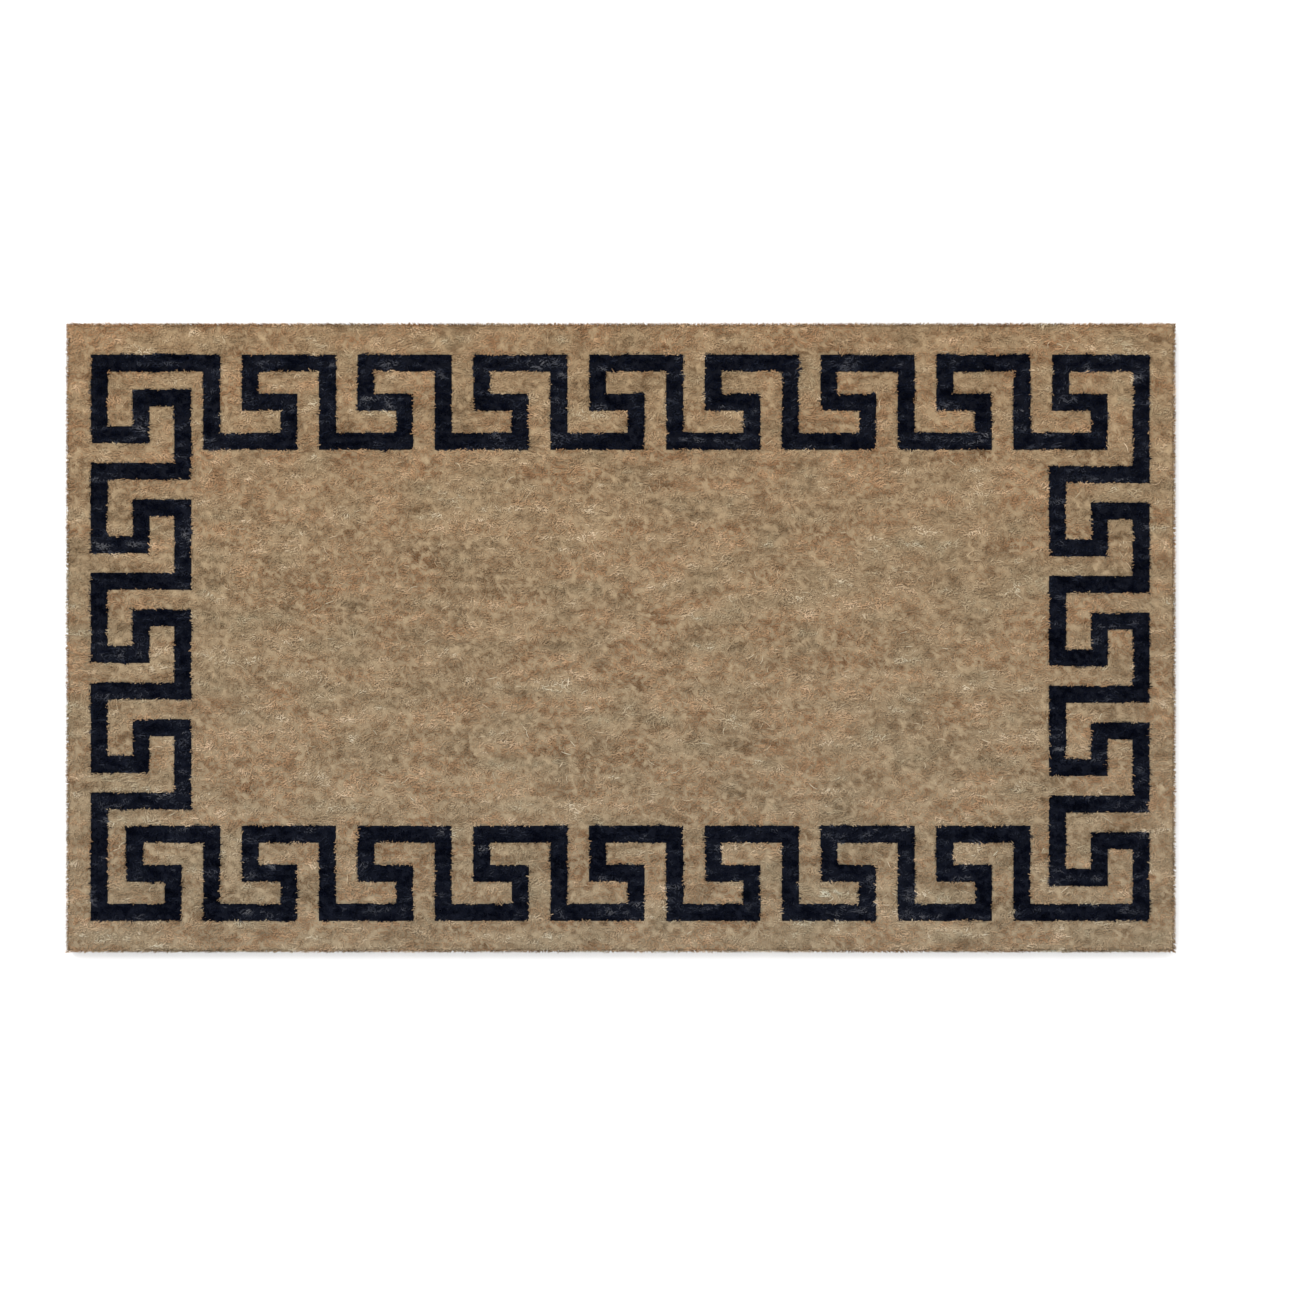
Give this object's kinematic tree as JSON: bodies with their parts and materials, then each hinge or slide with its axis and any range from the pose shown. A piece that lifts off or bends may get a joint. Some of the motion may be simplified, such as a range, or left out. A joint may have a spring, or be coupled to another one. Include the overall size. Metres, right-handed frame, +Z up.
{
  "type": "door mat",
  "caption": "Flat rectangular door mat: stiff upright coir bristle pile on a black vinyl backing, with a closed Greek key line in dyed bristles round a plain field.",
  "frame": {"origin": "centre of the mat's underside", "axes": "+X along the mat's length, +Y towards the far long edge, +Z up out of the pile"},
  "size_m": [0.762, 0.432, 0.015],
  "materials": {
    "vinyl_backing": "matt black vinyl with a fine moulded grain",
    "natural_coir": "undyed coconut fibre, straw to orange brown, cut ends",
    "dyed_coir": "coconut fibre dyed navy black"
  },
  "bodies": {
    "root": {"backing_sheet": "vinyl_backing", "field_pile": "natural_coir", "margin_pile": "natural_coir", "greek_key_pile": "dyed_coir"}
  },
  "joints": []
}
